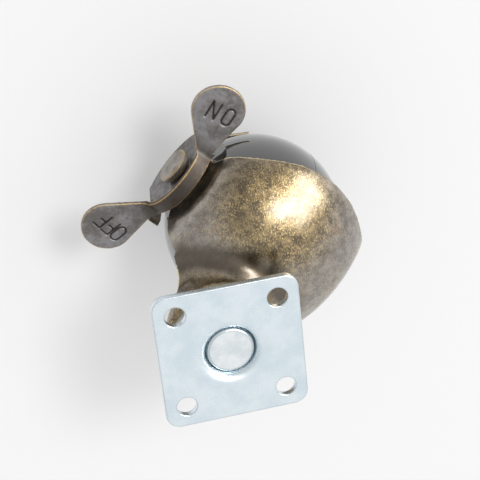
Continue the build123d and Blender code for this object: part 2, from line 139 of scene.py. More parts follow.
# The kinds of node that the finishes use most
COORDINATES = "ShaderNodeTexCoord"
MAPPING = "ShaderNodeMapping"
NOISE = "ShaderNodeTexNoise"
WAVE = "ShaderNodeTexWave"
ATTRIBUTE = "ShaderNodeAttribute"
MAP = "ShaderNodeMapRange"
MATH = "ShaderNodeMath"
VECTOR = "ShaderNodeVectorMath"
MIX = "ShaderNodeMix"
BUMP = "ShaderNodeBump"

# The output that a node is read from, where that isn't its first one
MAIN_OUTPUT = {NOISE: "Fac", WAVE: "Fac", ATTRIBUTE: "Fac", MIX: 2}

# Places of a colour Mix node's input sockets, whose names repeat for each data type
SHARE = 0
UNDER = 6
OVER = 7

# Settings that come with those nodes
SMOOTH = {"interpolation_type": "SMOOTHSTEP"}
RGBA = {"data_type": "RGBA"}
MULTIPLY = {"operation": "MULTIPLY"}
MULTIPLY_ADD = {"operation": "MULTIPLY_ADD"}

# How far apart a Wave node's rings are at a scale of 1
RING_STEP = math.tau / 20


def add_node(
    tree: bpy.types.NodeTree,
    kind: str,
    settings: dict[str, Any] | None = None,
    inputs: dict[Any, Any] | None = None,
) -> bpy.types.Node:
    """Add a node with its settings, and set or link its inputs.

    Args:
        tree: The node tree that the node goes into.
        kind: The node's type name.
        settings: Properties of the node itself.
        inputs: Input names or numbers, each with a value, or with the node or output that feeds it.

    Returns:
        The new node.
    """
    node = tree.nodes.new(kind)
    for name, value in (settings or {}).items():
        setattr(node, name, value)
    for key, value in (inputs or {}).items():
        if isinstance(value, bpy.types.Node):
            value = value.outputs[MAIN_OUTPUT.get(value.bl_idname, 0)]
        if isinstance(value, bpy.types.NodeSocket):
            tree.links.new(value, node.inputs[key])
        else:
            node.inputs[key].default_value = value
    return node


# add_node with its tree already given
AddNode = Callable[..., bpy.types.Node]


class Finish(ABC):
    """A surface finish: what it is made of, how it was made and how it has worn."""

    slot: Slot

    def build(self) -> bpy.types.Material:
        """Make the finish's material.

        Returns:
            A node material named for the record's slot.
        """
        material = bpy.data.materials.new(f"{self.slot.value}_finish")
        material.use_nodes = True
        material.node_tree.nodes.clear()
        add = partial(add_node, material.node_tree)
        shader = add("ShaderNodeBsdfPrincipled", inputs=self.dress(add))
        add("ShaderNodeOutputMaterial", inputs={"Surface": shader})
        return material

    @abstractmethod
    def dress(self, add: AddNode) -> dict[str, Any]:
        """Make the patterns of the finish.

        Args:
            add: Adds a node to the material's tree.

        Returns:
            The inputs of its Principled shader.
        """


@dataclass(frozen=True)
class AntiqueBrass(Finish):
    """Brass-plated steel, blackened, brushed back in fine short strokes and lacquered.

    The eye sees a dark brown ground with dense golden flecks, brighter where the brush
    pressed, a bright line along the rim, and a soft white gloss from the lacquer. Away from
    the crown the sides are painted greyer, a painted grey sheen, and the hollow above the
    neck is painted dark, a painted shade.
    """

    slot: Slot = Slot.ANTIQUE_BRASS
    patina: str = "#4f4436"
    bronze: str = "#8c7a58"
    # The grey of the painted sheen on the sides
    grey: str = "#a59f97"
    brass: str = "#cdb37b"
    copper: str = "#9c7552"
    edge: str = "#e6cf98"
    # Where the painted grey sheen begins and ends, counted out from this crown
    crown: tuple[float, float, float] = (-19.0 * MM, -30.0 * MM, -14.0 * MM)
    crown_inner_mm: float = 10.0
    crown_outer_mm: float = 22.0
    crown_blur_mm: float = 12.0
    sheen_side_share: float = 0.4
    least_bronze: float = 0.12
    most_fleck: float = 0.95
    # Out from the neck: where the painted sheen starts, and where the painted shade in the hollow
    # under the plate ends, with how dark that shade is
    hollow_mm: tuple[float, float, float, float] = (15.0, 17.5, 20.0, 25.0)
    hollow_dark: float = 0.85
    inside_dark: float = 0.75
    cloud_mm: float = 8.0
    mottle_mm: float = 2.4
    fleck_mm: float = 0.3
    fleck_share: float = 0.7
    brush_turn_deg: tuple[float, float, float] = (25.0, 0.0, -12.0)
    stroke_stretch: float = 0.45
    wear_mm: float = 0.42
    grain_depth_mm: float = 0.015

    def dress(self, add: AddNode) -> dict[str, Any]:
        """Lay patina, bronze and rubbed flecks, paint a grey sheen on the sides and shade into the
        hollow above the neck, then wear the rim and roughen it.

        Args:
            add: Adds a node to the material's tree.

        Returns:
            The inputs of its Principled shader.
        """
        place = add(COORDINATES).outputs["Object"]
        cloud = add(NOISE, inputs={
            "Vector": place, "Scale": per_metre(self.cloud_mm), "Detail": 3.0, "Roughness": 0.55,
        })
        rubbed = add(MAP, SMOOTH, {"Value": cloud, "From Min": 0.36, "From Max": 0.62})
        mottle = add(NOISE, inputs={
            "Vector": place, "Scale": per_metre(self.mottle_mm), "Detail": 4.0, "Roughness": 0.65,
        })
        # The brush ran down the slope of the dome, so the flecks are a little longer that way
        brushed = add(MAPPING, inputs={
            "Vector": place, "Rotation": [math.radians(turn) for turn in self.brush_turn_deg],
            "Scale": (1.0, self.stroke_stretch, 1.0),
        })
        fleck = add(NOISE, inputs={
            "Vector": brushed, "Scale": per_metre(self.fleck_mm), "Detail": 2.0, "Roughness": 0.7,
        })
        # Away from the dome's crown the bronze is painted greyer: a painted grey sheen that stands
        # in for the sides' grazing reflection
        away = add(VECTOR, {"operation": "DISTANCE"}, {0: place, 1: self.crown}).outputs["Value"]
        off_crown = add(MATH, MULTIPLY_ADD, {0: cloud, 1: self.crown_blur_mm * MM, 2: away})
        painted_sheen_share = add(MAP, SMOOTH, {
            "Value": off_crown, "From Min": (self.crown_inner_mm + self.crown_blur_mm / 2) * MM,
            "From Max": (self.crown_outer_mm + self.crown_blur_mm / 2) * MM,
        })
        # The painted grey sheen stays off the neck under the plate, which keeps its flecks and
        # bronze
        flat = add(VECTOR, MULTIPLY, {0: place, 1: (1.0, 1.0, 0.0)})
        off_neck = add(VECTOR, {"operation": "LENGTH"}, {0: flat}).outputs["Value"]
        inner_start, inner_end, outer_start, outer_end = self.hollow_mm
        hollow_in = add(MAP, SMOOTH, {
            "Value": off_neck, "From Min": inner_start * MM, "From Max": inner_end * MM,
        })
        side = add(MATH, MULTIPLY, {0: painted_sheen_share, 1: hollow_in})
        bronze = add(MIX, RGBA, {SHARE: side, UNDER: colour(self.bronze), OVER: colour(self.grey)})
        grain_mix = add(MATH, MULTIPLY_ADD, {0: fleck, 1: self.fleck_share, 2: mottle})
        # Under the painted grey sheen less patina shows between, and there are fewer flecks
        least_bronze = add(MATH, MULTIPLY_ADD, {0: side, 1: self.sheen_side_share, 2: self.least_bronze})
        most_fleck = add(MATH, MULTIPLY_ADD, {0: side, 1: -self.sheen_side_share, 2: self.most_fleck})
        ground_mix = add(MAP, SMOOTH, {
            "Value": grain_mix, "From Min": 0.68, "From Max": 1.02, "To Min": least_bronze,
        })
        ground = add(MIX, RGBA, {SHARE: ground_mix, UNDER: colour(self.patina), OVER: bronze})
        sparse = add(MAP, inputs={"Value": rubbed, "To Min": 0.60, "To Max": 0.51})
        above = add(MATH, {"operation": "SUBTRACT"}, {0: fleck, 1: sparse})
        flecks = add(MAP, SMOOTH, {
            "Value": above, "From Min": 0.0, "From Max": 0.14, "To Max": most_fleck,
        })
        # The hollow above the neck, under the plate, is painted dark towards the patina: painted
        # shade
        hollow_out = add(MAP, SMOOTH, {
            "Value": off_neck, "From Min": outer_start * MM, "From Max": outer_end * MM,
            "To Min": self.hollow_dark, "To Max": 0.0,
        })
        hollow = add(MATH, MULTIPLY, {0: hollow_in, 1: hollow_out})
        warm = add(MAP, SMOOTH, {
            "Value": cloud, "From Min": 0.58, "From Max": 0.72, "To Max": 0.35,
        })
        tinted = add(MIX, RGBA, {SHARE: warm, UNDER: ground, OVER: colour(self.copper)})
        flecked = add(MIX, RGBA, {SHARE: flecks, UNDER: tinted, OVER: colour(self.brass)})
        # The hood's inner face, towards the ball, is darkened towards the patina too
        inside = add(ATTRIBUTE, {"attribute_name": INSIDE_ATTRIBUTE})
        hollow_shade_and_inside_dark = add(MATH, {**MULTIPLY_ADD, "use_clamp": True}, {
            0: inside, 1: self.inside_dark, 2: hollow,
        })
        darkened = add(MIX, RGBA, {SHARE: hollow_shade_and_inside_dark, UNDER: flecked, OVER: colour(self.patina)})
        edge = add(ATTRIBUTE, {"attribute_name": EDGE_ATTRIBUTE})
        ragged = add(MATH, MULTIPLY_ADD, {0: mottle, 1: self.wear_mm, 2: edge})
        worn = add(MAP, SMOOTH, {
            "Value": ragged, "From Min": self.wear_mm, "From Max": 2 * self.wear_mm, "To Min": 0.95,
            "To Max": 0.0,
        })
        rimmed = add(MIX, RGBA, {SHARE: worn, UNDER: darkened, OVER: colour(self.edge)})
        gloss = add(MAP, inputs={
            "Value": mottle, "From Min": 0.3, "From Max": 0.7, "To Min": 0.27, "To Max": 0.38,
        })
        grain = add(BUMP, inputs={
            "Strength": 0.5, "Distance": self.grain_depth_mm * MM, "Height": fleck,
        })
        return {
            "Base Color": rimmed, "Roughness": gloss, "Normal": grain, "Metallic": 1.0,
            "Coat Weight": 0.9, "Coat Roughness": 0.2,
        }


@dataclass(frozen=True)
class AgedSteel(Finish):
    """Steel with a dark antique plating, brushed lengthways and rubbed to brass at its edges.

    The eye sees warm grey with brown clouds, fine strokes, golden sheared edges,
    black patina left in the stamped letters, and a darker, browner band that is partly painted
    shade.
    """

    slot: Slot = Slot.AGED_STEEL
    grey: str = "#918f90"
    brown: str = "#706c69"
    # The band's darker colour: its browner tone with painted shade in it
    band: str = "#41372c"
    patina: str = "#221e1b"
    edge: str = "#d2b27c"
    cloud_mm: float = 6.0
    mottle_mm: float = 0.9
    mottle_share: float = 0.45
    stroke_mm: float = 0.16
    stroke_stretch: float = 0.08
    stroke_depth_mm: float = 0.012
    wear_mm: float = 0.3
    ragged: float = 1.2
    worn_from: float = 0.8
    worn_to: float = 2.0

    def dress(self, add: AddNode) -> dict[str, Any]:
        """Cloud the plating, paint the band darker, rub its edges bright and keep the stamped
        letters dark.

        Args:
            add: Adds a node to the material's tree.

        Returns:
            The inputs of its Principled shader.
        """
        place = add(COORDINATES).outputs["Object"]
        cloud = add(NOISE, inputs={
            "Vector": place, "Scale": per_metre(self.cloud_mm), "Detail": 4.0, "Roughness": 0.6,
        })
        mottle = add(NOISE, inputs={
            "Vector": place, "Scale": per_metre(self.mottle_mm), "Detail": 3.0, "Roughness": 0.7,
        })
        both = add(MATH, MULTIPLY_ADD, {0: mottle, 1: self.mottle_share, 2: cloud})
        browned = add(MAP, SMOOTH, {"Value": both, "From Min": 0.58, "From Max": 0.88})
        plated = add(MIX, RGBA, {
            SHARE: browned, UNDER: colour(self.grey), OVER: colour(self.brown),
        })
        # The folded band is painted darker and browner: partly its own tone, partly painted shade
        # that holds down the lamps' highlight on its bend
        band = add(ATTRIBUTE, {"attribute_name": BAND_ATTRIBUTE})
        band_shade_share = add(MAP, inputs={"Value": band, "To Max": 0.85})
        ground = add(MIX, RGBA, {SHARE: band_shade_share, UNDER: plated, OVER: colour(self.band)})
        along = add(MAPPING, inputs={
            "Vector": place, "Rotation": (0.0, 0.0, -HOOD_TURN),
            "Scale": (1.0, self.stroke_stretch, 1.0),
        })
        strokes = add(NOISE, inputs={
            "Vector": along, "Scale": per_metre(self.stroke_mm), "Detail": 2.0, "Roughness": 0.6,
        })
        edge = add(ATTRIBUTE, {"attribute_name": EDGE_ATTRIBUTE})
        ragged = add(MATH, MULTIPLY_ADD, {0: mottle, 1: self.ragged * self.wear_mm, 2: edge})
        worn = add(MAP, SMOOTH, {
            "Value": ragged, "From Min": self.worn_from * self.wear_mm,
            "From Max": self.worn_to * self.wear_mm, "To Min": 0.7, "To Max": 0.0,
        })
        rubbed = add(MIX, RGBA, {SHARE: worn, UNDER: ground, OVER: colour(self.edge)})
        stamped = add(ATTRIBUTE, {"attribute_name": STAMP_ATTRIBUTE})
        sunk = add(MAP, SMOOTH, {
            "Value": stamped, "From Min": 0.15, "From Max": 0.85, "To Max": 0.9,
        })
        lettered = add(MIX, RGBA, {SHARE: sunk, UNDER: rubbed, OVER: colour(self.patina)})
        gloss = add(MAP, inputs={
            "Value": both, "From Min": 0.4, "From Max": 1.0, "To Min": 0.5, "To Max": 0.62,
        })
        relief = add(BUMP, inputs={
            "Strength": 0.4, "Distance": self.stroke_depth_mm * MM, "Height": strokes,
        })
        return {
            "Base Color": lettered, "Roughness": gloss, "Normal": relief, "Metallic": 1.0,
            "Coat Weight": 0.15, "Coat Roughness": 0.3,
        }


@dataclass(frozen=True)
class ZincPlating(Finish):
    """Bright zinc plate on pressed steel, with a blue-white cast and a fine satin grain.

    The eye sees a pale, slightly blue sheet with faint clouds, tiny handling scratches and
    greyer sheared edges.
    """

    slot: Slot = Slot.ZINC_PLATE
    bright: str = "#e7f1f6"
    cloud: str = "#dae7ee"
    edge: str = "#c4ccd0"
    cloud_mm: float = 8.0
    grain_mm: float = 0.3
    scratch_mm: float = 0.25
    scratch_turn_deg: float = 33.0
    scratch_stretch: float = 0.03
    scratch_share: float = 0.35
    relief_mm: float = 0.01
    low_roughness: float = 0.24
    high_roughness: float = 0.36

    def dress(self, add: AddNode) -> dict[str, Any]:
        """Cloud the zinc, scratch it finely and grey its sheared edges.

        Args:
            add: Adds a node to the material's tree.

        Returns:
            The inputs of its Principled shader.
        """
        place = add(COORDINATES).outputs["Object"]
        clouds = add(NOISE, inputs={
            "Vector": place, "Scale": per_metre(self.cloud_mm), "Detail": 4.0, "Roughness": 0.6,
        })
        cloudy = add(MAP, SMOOTH, {"Value": clouds, "From Min": 0.35, "From Max": 0.65})
        base = add(MIX, RGBA, {SHARE: cloudy, UNDER: colour(self.bright), OVER: colour(self.cloud)})
        grain = add(NOISE, inputs={
            "Vector": place, "Scale": per_metre(self.grain_mm), "Detail": 3.0, "Roughness": 0.6,
        })
        edge = add(ATTRIBUTE, {"attribute_name": EDGE_ATTRIBUTE})
        sheared = add(MAP, SMOOTH, {
            "Value": edge, "From Min": 0.05, "From Max": 0.5, "To Min": 0.7, "To Max": 0.0,
        })
        edged = add(MIX, RGBA, {SHARE: sheared, UNDER: base, OVER: colour(self.edge)})
        gloss = add(MAP, inputs={
            "Value": grain, "From Min": 0.3, "From Max": 0.7, "To Min": self.low_roughness,
            "To Max": self.high_roughness,
        })
        drawn = add(MAPPING, inputs={
            "Vector": place, "Rotation": (0.0, 0.0, math.radians(self.scratch_turn_deg)),
            "Scale": (1.0, self.scratch_stretch, 1.0),
        })
        scratches = add(NOISE, inputs={
            "Vector": drawn, "Scale": per_metre(self.scratch_mm), "Detail": 1.0, "Roughness": 0.5,
        })
        height = add(MATH, MULTIPLY_ADD, {0: scratches, 1: self.scratch_share, 2: grain})
        relief = add(BUMP, inputs={
            "Strength": 0.25, "Distance": self.relief_mm * MM, "Height": height,
        })
        return {"Base Color": edged, "Roughness": gloss, "Normal": relief, "Metallic": 1.0}


@dataclass(frozen=True)
class ZincPin(ZincPlating):
    """The kingpin's zinc plate, cooler and smoother than the plate round it."""

    slot: Slot = Slot.ZINC_PIN
    bright: str = "#f0f4f6"
    cloud: str = "#dde5e9"
    edge: str = "#aeb9be"
    cloud_mm: float = 4.0
    low_roughness: float = 0.26
    high_roughness: float = 0.4


@dataclass(frozen=True)
class TurnedSteel(Finish):
    """Plain steel with the fine rings that a lathe or a die leaves, lightly oiled.

    The eye sees a mid-grey metal whose rings catch the light, with dull brown stains.
    """

    slot: Slot = Slot.RACE_STEEL
    steel: str = "#a9a8a5"
    stain: str = "#7d776d"
    edge: str = "#bdb9b0"
    ring_mm: float = 0.35
    ring_depth_mm: float = 0.01
    stain_mm: float = 3.0
    low_roughness: float = 0.3
    high_roughness: float = 0.48
    centre: tuple[float, float, float] = (0.0, 0.0, 0.0)
    turn: tuple[float, float, float] = (0.0, 0.0, 0.0)
    edge_share: float = 0.6
    wear_mm: float = 0.3
    worn_from: float = 0.3

    def dress(self, add: AddNode) -> dict[str, Any]:
        """Stain the steel, brighten its edges and cut fine rings about its own axis.

        Args:
            add: Adds a node to the material's tree.

        Returns:
            The inputs of its Principled shader.
        """
        place = add(COORDINATES).outputs["Object"]
        centred = add(MAPPING, {"vector_type": "TEXTURE"}, {
            "Vector": place, "Location": self.centre, "Rotation": self.turn,
        })
        stains = add(NOISE, inputs={
            "Vector": place, "Scale": per_metre(self.stain_mm), "Detail": 5.0, "Roughness": 0.65,
        })
        stained = add(MAP, SMOOTH, {"Value": stains, "From Min": 0.42, "From Max": 0.68})
        base = add(MIX, RGBA, {SHARE: stained, UNDER: colour(self.steel), OVER: colour(self.stain)})
        edge = add(ATTRIBUTE, {"attribute_name": EDGE_ATTRIBUTE})
        worn = add(MAP, SMOOTH, {
            "Value": edge, "From Min": self.worn_from * self.wear_mm, "From Max": self.wear_mm,
            "To Min": self.edge_share, "To Max": 0.0,
        })
        edged = add(MIX, RGBA, {SHARE: worn, UNDER: base, OVER: colour(self.edge)})
        gloss = add(MAP, inputs={
            "Value": stains, "From Min": 0.3, "From Max": 0.7, "To Min": self.low_roughness,
            "To Max": self.high_roughness,
        })
        rings = add(WAVE, {"wave_type": "RINGS", "rings_direction": "Z"}, {
            "Vector": centred, "Scale": RING_STEP * per_metre(self.ring_mm), "Distortion": 0.6,
            "Detail": 1.0,
        })
        relief = add(BUMP, inputs={
            "Strength": 0.3, "Distance": self.ring_depth_mm * MM, "Height": rings,
        })
        return {"Base Color": edged, "Roughness": gloss, "Normal": relief, "Metallic": 1.0}


@dataclass(frozen=True)
class BearingSteel(Finish):
    """Hardened steel balls, ground and polished, with a thin film of grease.

    The eye sees bright mirror spheres with faint smears.
    """

    slot: Slot = Slot.BEARING_STEEL
    steel: str = "#dcdddf"
    grease: str = "#b9ad92"
    smear_mm: float = 1.2

    def dress(self, add: AddNode) -> dict[str, Any]:
        """Smear thin grease over polished steel.

        Args:
            add: Adds a node to the material's tree.

        Returns:
            The inputs of its Principled shader.
        """
        place = add(COORDINATES).outputs["Object"]
        smear = add(NOISE, inputs={
            "Vector": place, "Scale": per_metre(self.smear_mm), "Detail": 3.0, "Roughness": 0.6,
        })
        film = add(MAP, SMOOTH, {"Value": smear, "From Min": 0.5, "From Max": 0.72, "To Max": 0.6})
        base = add(MIX, RGBA, {SHARE: film, UNDER: colour(self.steel), OVER: colour(self.grease)})
        gloss = add(MAP, inputs={"Value": film, "To Min": 0.07, "To Max": 0.3})
        return {"Base Color": base, "Roughness": gloss, "Metallic": 1.0}


@dataclass(frozen=True)
class BlackBall(Finish):
    """Hard black plastic, moulded in a polished tool.

    The eye sees near-black gloss with a slight waviness and faint rolling scuffs.
    """

    slot: Slot = Slot.BLACK_BALL
    black: str = "#0d0d0f"
    dust: str = "#2b2b2d"
    wave_mm: float = 9.0
    wave_depth_mm: float = 0.03
    scuff_mm: float = 0.5
    scuff_stretch: float = 0.12

    def dress(self, add: AddNode) -> dict[str, Any]:
        """Give the gloss its moulded waviness and light scuffs.

        Args:
            add: Adds a node to the material's tree.

        Returns:
            The inputs of its Principled shader.
        """
        place = add(COORDINATES).outputs["Object"]
        waves = add(NOISE, inputs={
            "Vector": place, "Scale": per_metre(self.wave_mm), "Detail": 1.0, "Roughness": 0.4,
        })
        rolled = add(MAPPING, {"vector_type": "TEXTURE"}, {
            "Vector": place, "Rotation": (0.0, 0.0, HOOD_TURN),
        })
        across = add(MAPPING, inputs={
            "Vector": rolled, "Scale": (1.0, self.scuff_stretch, self.scuff_stretch),
        })
        scuffs = add(NOISE, inputs={
            "Vector": across, "Scale": per_metre(self.scuff_mm), "Detail": 3.0, "Roughness": 0.7,
        })
        scuffed = add(MAP, SMOOTH, {"Value": scuffs, "From Min": 0.62, "From Max": 0.8})
        base = add(MIX, RGBA, {SHARE: scuffed, UNDER: colour(self.black), OVER: colour(self.dust)})
        gloss = add(MAP, inputs={"Value": scuffed, "To Min": 0.06, "To Max": 0.22})
        relief = add(BUMP, inputs={
            "Strength": 0.3, "Distance": self.wave_depth_mm * MM, "Height": waves,
        })
        return {
            "Base Color": base, "Roughness": gloss, "Normal": relief, "IOR": 1.6,
            "Coat Weight": 1.0, "Coat IOR": 1.7, "Coat Roughness": 0.05,
        }


@dataclass(frozen=True)
class BushPlastic(Finish):
    """Natural acetal, turned or moulded: a milky off-white plastic with a waxy sheen."""

    slot: Slot = Slot.BUSH_PLASTIC
    milk: str = "#dedbcd"
    rubbed: str = "#a8a498"
    stain_mm: float = 2.5

    def dress(self, add: AddNode) -> dict[str, Any]:
        """Stain the milky plastic where steel rubs it.

        Args:
            add: Adds a node to the material's tree.

        Returns:
            The inputs of its Principled shader.
        """
        place = add(COORDINATES).outputs["Object"]
        stain = add(NOISE, inputs={
            "Vector": place, "Scale": per_metre(self.stain_mm), "Detail": 4.0, "Roughness": 0.6,
        })
        stained = add(MAP, SMOOTH, {
            "Value": stain, "From Min": 0.45, "From Max": 0.75, "To Max": 0.7,
        })
        base = add(MIX, RGBA, {SHARE: stained, UNDER: colour(self.milk), OVER: colour(self.rubbed)})
        gloss = add(MAP, inputs={"Value": stain, "To Min": 0.35, "To Max": 0.55})
        return {"Base Color": base, "Roughness": gloss}


def hood_place(at: Vector) -> Vector:
    """Turn a place in the hood's own directions into one in the frame."""
    return Matrix.Rotation(HOOD_TURN, 3, "Z") @ at


BALL_CENTRE = hood_place(BALL_IN_HOOD)
AXLE_TURN = (0.0, math.pi / 2, HOOD_TURN)


@dataclass
class PressedPiece:
    """A CAD node redrawn as an even, dense mesh with rounded edges.

    Away from its edges every point lies on the CAD surface and takes the CAD's own normal,
    so flats stay flat and curves stay smooth.
    """

    node: str
    name: str
    voxel_mm: float
    rounding_mm: float
    smoothing: int
    crease_smoothing: int = 0
    edge_reach: float = 2.0
    crease_reach: float = 3.0
    sharp_angle: float = math.radians(28)
    sample_mm: float = 0.08
    merge_mm: float = 0.001

    def build(self, body: Body, slot: Slot, material: bpy.types.Material) -> bpy.types.Object:
        """Make the piece, let it ride on its body and stand for its node.

        Args:
            body: The moving group that carries it.
            slot: The record's material slot; not used.
            material: Its finish.

        Returns:
            The finished piece, at the origin.
        """
        source = frame["nodes"][self.node]
        merged = self._merged(source.data)
        outer_edges, inner_edges = self._edge_points(merged)
        piece = self._remeshed(merged)
        self._settle(piece, source.data, outer_edges, inner_edges)
        piece.data.materials.clear()
        piece.data.materials.append(material)
        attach(piece, body.value)
        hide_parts(self.node)
        LOG.info("%s: %d faces", self.name, len(piece.data.polygons))
        return piece

    def _merged(self, mesh: bpy.types.Mesh) -> bpy.types.Mesh:
        """Copy the node's loose triangles and join their corners.

        Args:
            mesh: The node's mesh.

        Returns:
            The joined copy.
        """
        work = bmesh.new()
        work.from_mesh(mesh)
        bmesh.ops.remove_doubles(work, verts=work.verts, dist=self.merge_mm * MM)
        merged = bpy.data.meshes.new(f"{self.name}_merged")
        work.to_mesh(merged)
        work.free()
        return merged

    def _edge_points(self, merged: bpy.types.Mesh) -> tuple[list[Vector], list[Vector]]:
        """Lay points along the edges where two surfaces meet.

        Args:
            merged: The joined mesh.

        Returns:
            Points on outer edges, and points on inner ones.
        """
        work = bmesh.new()
        work.from_mesh(merged)
        outer, inner = [], []
        for edge in work.edges:
            if not edge.is_manifold or edge.calc_face_angle() < self.sharp_angle:
                continue
            start, end = (v.co for v in edge.verts)
            count = max(1, math.ceil((end - start).length / (self.sample_mm * MM)))
            points = outer if edge.calc_face_angle_signed() > 0 else inner
            points += [start.lerp(end, step / count) for step in range(count + 1)]
        work.free()
        return outer, inner

    def _remeshed(self, merged: bpy.types.Mesh) -> bpy.types.Object:
        """Redraw the mesh in even quads.

        Args:
            merged: The joined mesh, which is removed.

        Returns:
            An object with the even mesh.
        """
        holder = bpy.data.objects.new(self.name, merged)
        bpy.context.scene.collection.objects.link(holder)
        remesh = holder.modifiers.new("even", "REMESH")
        remesh.mode = "VOXEL"
        remesh.voxel_size = self.voxel_mm * MM
        depsgraph = bpy.context.evaluated_depsgraph_get()
        even = bpy.data.meshes.new_from_object(holder.evaluated_get(depsgraph))
        holder.modifiers.remove(remesh)
        holder.data = even
        bpy.data.meshes.remove(merged)
        return holder

    def _settle(
        self,
        piece: bpy.types.Object,
        cad: bpy.types.Mesh,
        outer_edges: list[Vector],
        inner_edges: list[Vector],
    ) -> None:
        """Put the points back on the CAD surface, round the edges and store how near they are.

        Args:
            piece: The redrawn piece.
            cad: The node's mesh.
            outer_edges: Points on its outer edges.
            inner_edges: Points on its inner edges.
        """
        mesh = piece.data
        points = rows_of(mesh.vertices, "co")
        on_cad, normals = nearest_on(cad, points)
        distances = nearest_distances(outer_edges, points)
        creases = nearest_distances(inner_edges, points)
        rounding = self.rounding_mm * MM
        nearest = np.minimum(distances, creases)
        keep = np.clip((nearest - rounding) / rounding, 0, 1)[:, None]
        points = points * (1 - keep) + on_cad * keep
        points = smoothed(mesh, points, nearest < self.edge_reach * rounding, self.smoothing)
        creased = creases < self.crease_reach * rounding
        points = smoothed(mesh, points, creased, self.crease_smoothing)
        mesh.vertices.foreach_set("co", points.ravel())
        mesh.update()
        mixed = rows_of(mesh.vertex_normals, "vector") * (1 - keep) + normals * keep
        mixed /= np.linalg.norm(mixed, axis=1)[:, None]
        mesh.polygons.foreach_set("use_smooth", np.ones(len(mesh.polygons), bool))
        mesh.normals_split_custom_set_from_vertices(mixed.tolist())
        store(mesh, EDGE_ATTRIBUTE, np.minimum(distances / MM, EDGE_REACH_MM))


def rows_of(items: Any, name: str, kind: type = float) -> np.ndarray:
    """Read a property of three numbers from each item of a mesh.

    Args:
        items: The mesh's points, triangles or normals.
        name: The property.
        kind: The type of its numbers.

    Returns:
        The numbers, one item a row.
    """
    values = np.empty(len(items) * 3, kind)
    items.foreach_get(name, values)
    return values.reshape(-1, 3)


def nearest_on(cad: bpy.types.Mesh, points: np.ndarray) -> tuple[np.ndarray, np.ndarray]:
    """Find the nearest places on a CAD mesh and the smooth normals there.

    Args:
        cad: The node's mesh, as loaded.
        points: Points near its surface, one a row.

    Returns:
        The places and the unit normals, one a row each.
    """
    cad.calc_loop_triangles()
    triangles = rows_of(cad.loop_triangles, "vertices", np.int32)
    loops = rows_of(cad.loop_triangles, "loops", np.int32)
    corners = rows_of(cad.vertices, "co")
    corner_normals = rows_of(cad.corner_normals, "vector")
    tree = BVHTree.FromPolygons(corners.tolist(), triangles.tolist())
    found = [tree.find_nearest(point) for point in points.tolist()]
    places = np.array([hit[0] for hit in found])
    index = np.array([hit[2] for hit in found])
    a, b, c = (corners[triangles[index, i]] for i in range(3))
    whole = np.linalg.norm(np.cross(b - a, c - a), axis=1)
    share_a = np.linalg.norm(np.cross(b - places, c - places), axis=1) / whole
    share_b = np.linalg.norm(np.cross(c - places, a - places), axis=1) / whole
    shares = np.stack([share_a, share_b, 1 - share_a - share_b], axis=1)
    normals = sum(corner_normals[loops[index, i]] * shares[:, i : i + 1] for i in range(3))
    normals /= np.linalg.norm(normals, axis=1)[:, None]
    return places, normals


def nearest_distances(targets: list[Vector], points: np.ndarray) -> np.ndarray:
    """Measure how far each point is from the nearest target.

    Args:
        targets: Places on edges.
        points: Points of a mesh, one a row.

    Returns:
        The distances in metres.
    """
    if not targets:
        return np.full(len(points), EDGE_REACH_MM * MM)
    tree = KDTree(len(targets))
    for number, target in enumerate(targets):
        tree.insert(target, number)
    tree.balance()
    return np.array([tree.find(point)[2] for point in points.tolist()])


def smoothed(mesh: bpy.types.Mesh, points: np.ndarray, soft: np.ndarray, rounds: int) -> np.ndarray:
    """Ease the soft points towards their neighbours.

    Args:
        mesh: The mesh whose edges say which points are neighbours.
        points: The places of its points.
        soft: Which points may move.
        rounds: How many times they move.

    Returns:
        The eased places.
    """
    pairs = np.empty(len(mesh.edges) * 2, np.int32)
    mesh.edges.foreach_get("vertices", pairs)
    one, two = pairs.reshape(-1, 2).T
    counts = np.bincount(pairs, minlength=len(points))[:, None]
    for _ in range(rounds):
        total = np.zeros_like(points)
        np.add.at(total, one, points[two])
        np.add.at(total, two, points[one])
        points = np.where(soft[:, None], (points + total / counts) / 2, points)
    return points


def store(mesh: bpy.types.Mesh, name: str, values: np.ndarray) -> None:
    """Keep one number for each point of a mesh as a named attribute."""
    attribute = mesh.attributes.new(name, "FLOAT", "POINT")
    attribute.data.foreach_set("value", values.astype(np.float32))


def keep_wear_off(mesh: bpy.types.Mesh, spared: np.ndarray) -> None:
    """Store the spared points as far from any edge, so that no wear shows on them.

    Args:
        mesh: A redrawn piece's mesh.
        spared: Which of its points are spared.
    """
    distances = np.empty(len(mesh.vertices), np.float32)
    stored = mesh.attributes[EDGE_ATTRIBUTE].data
    stored.foreach_get("value", distances)
    distances[spared] = EDGE_REACH_MM
    stored.foreach_set("value", distances)


def dress_node(node: str, material: bpy.types.Material) -> None:
    """Give a carried-over CAD node its finish.

    Args:
        node: The node's name.
        material: Its finish.
    """
    part = frame["nodes"][node]
    part.data.materials.clear()
    part.data.materials.append(material)
    LOG.info("%s: kept from the CAD", node)


class Assembly(ABC):
    """A group of pieces that is built and reported together.

    A field that ends in mesh holds a redrawn piece's voxel and rounding in millimetres and
    its rounds of smoothing, as PressedPiece takes them.
    """

    @abstractmethod
    def build(self) -> None:
        """Make the group's pieces and dress them."""


